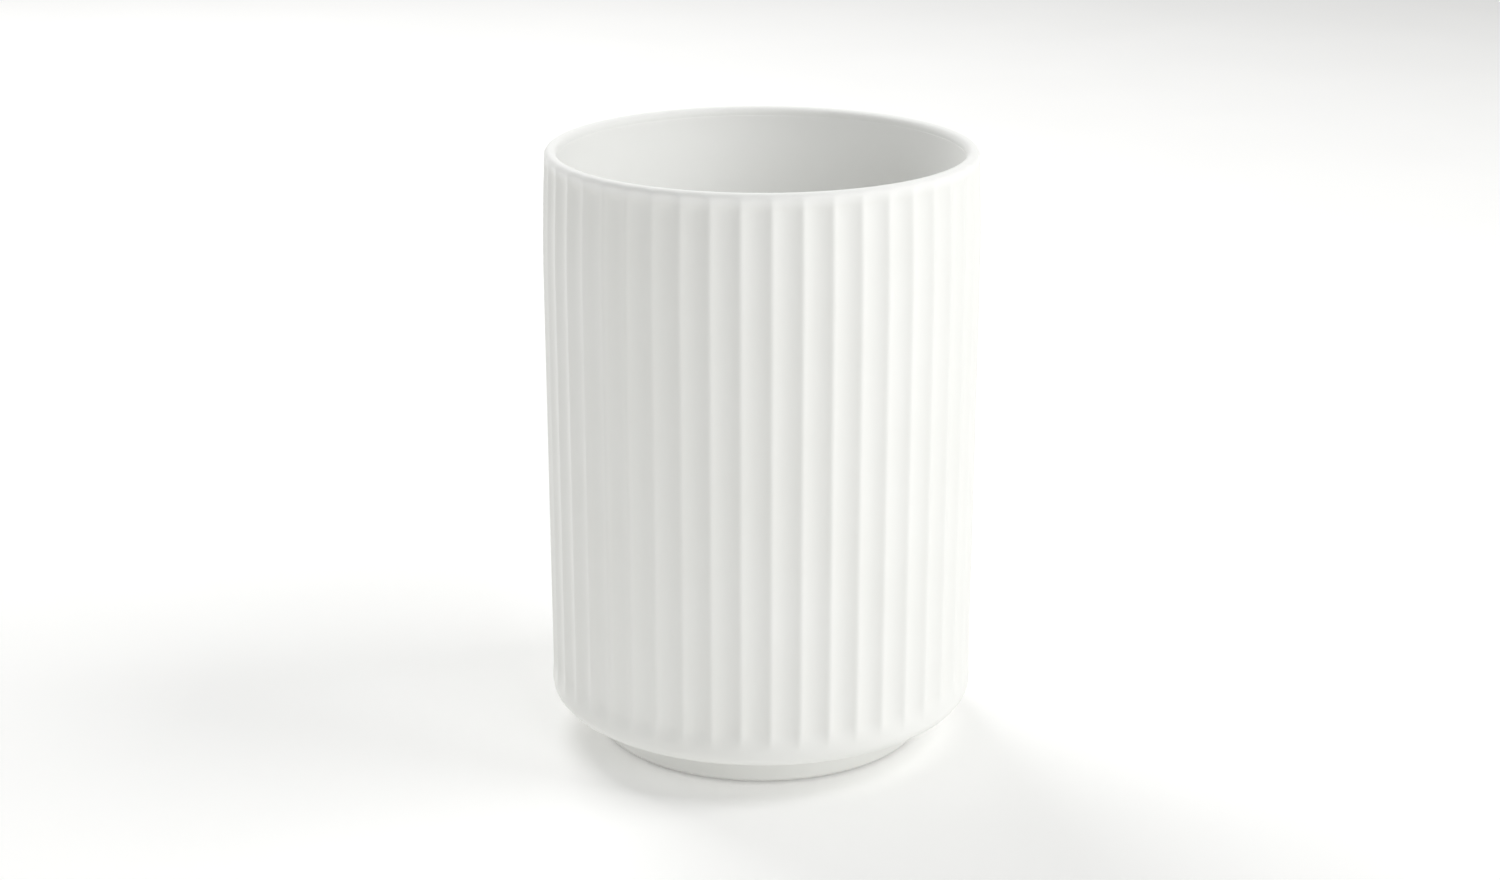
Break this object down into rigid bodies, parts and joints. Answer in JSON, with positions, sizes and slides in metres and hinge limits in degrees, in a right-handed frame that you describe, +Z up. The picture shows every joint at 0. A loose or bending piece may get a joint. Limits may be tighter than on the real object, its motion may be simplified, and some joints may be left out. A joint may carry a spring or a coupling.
{
  "type": "pen holder cup",
  "caption": "Cylindrical white porcelain pen cup with fine vertical flutes, a smooth rounded lip, a glazed inside and an inset round foot.",
  "frame": {"origin": "centre of the face that the cup stands on", "axes": "+Z up along the cup's axis, towards its open mouth; -Y towards the viewer"},
  "size_m": [0.076, 0.076, 0.1062],
  "materials": {
    "porcelain": "unglazed bisque, matt, very fine grain",
    "glaze": "thin satin glaze over the porcelain",
    "pad": "matt silicone rubber"
  },
  "bodies": {
    "root": {"cup_body": "porcelain", "inner_glaze": "glaze", "base_pad": "pad"}
  },
  "joints": []
}
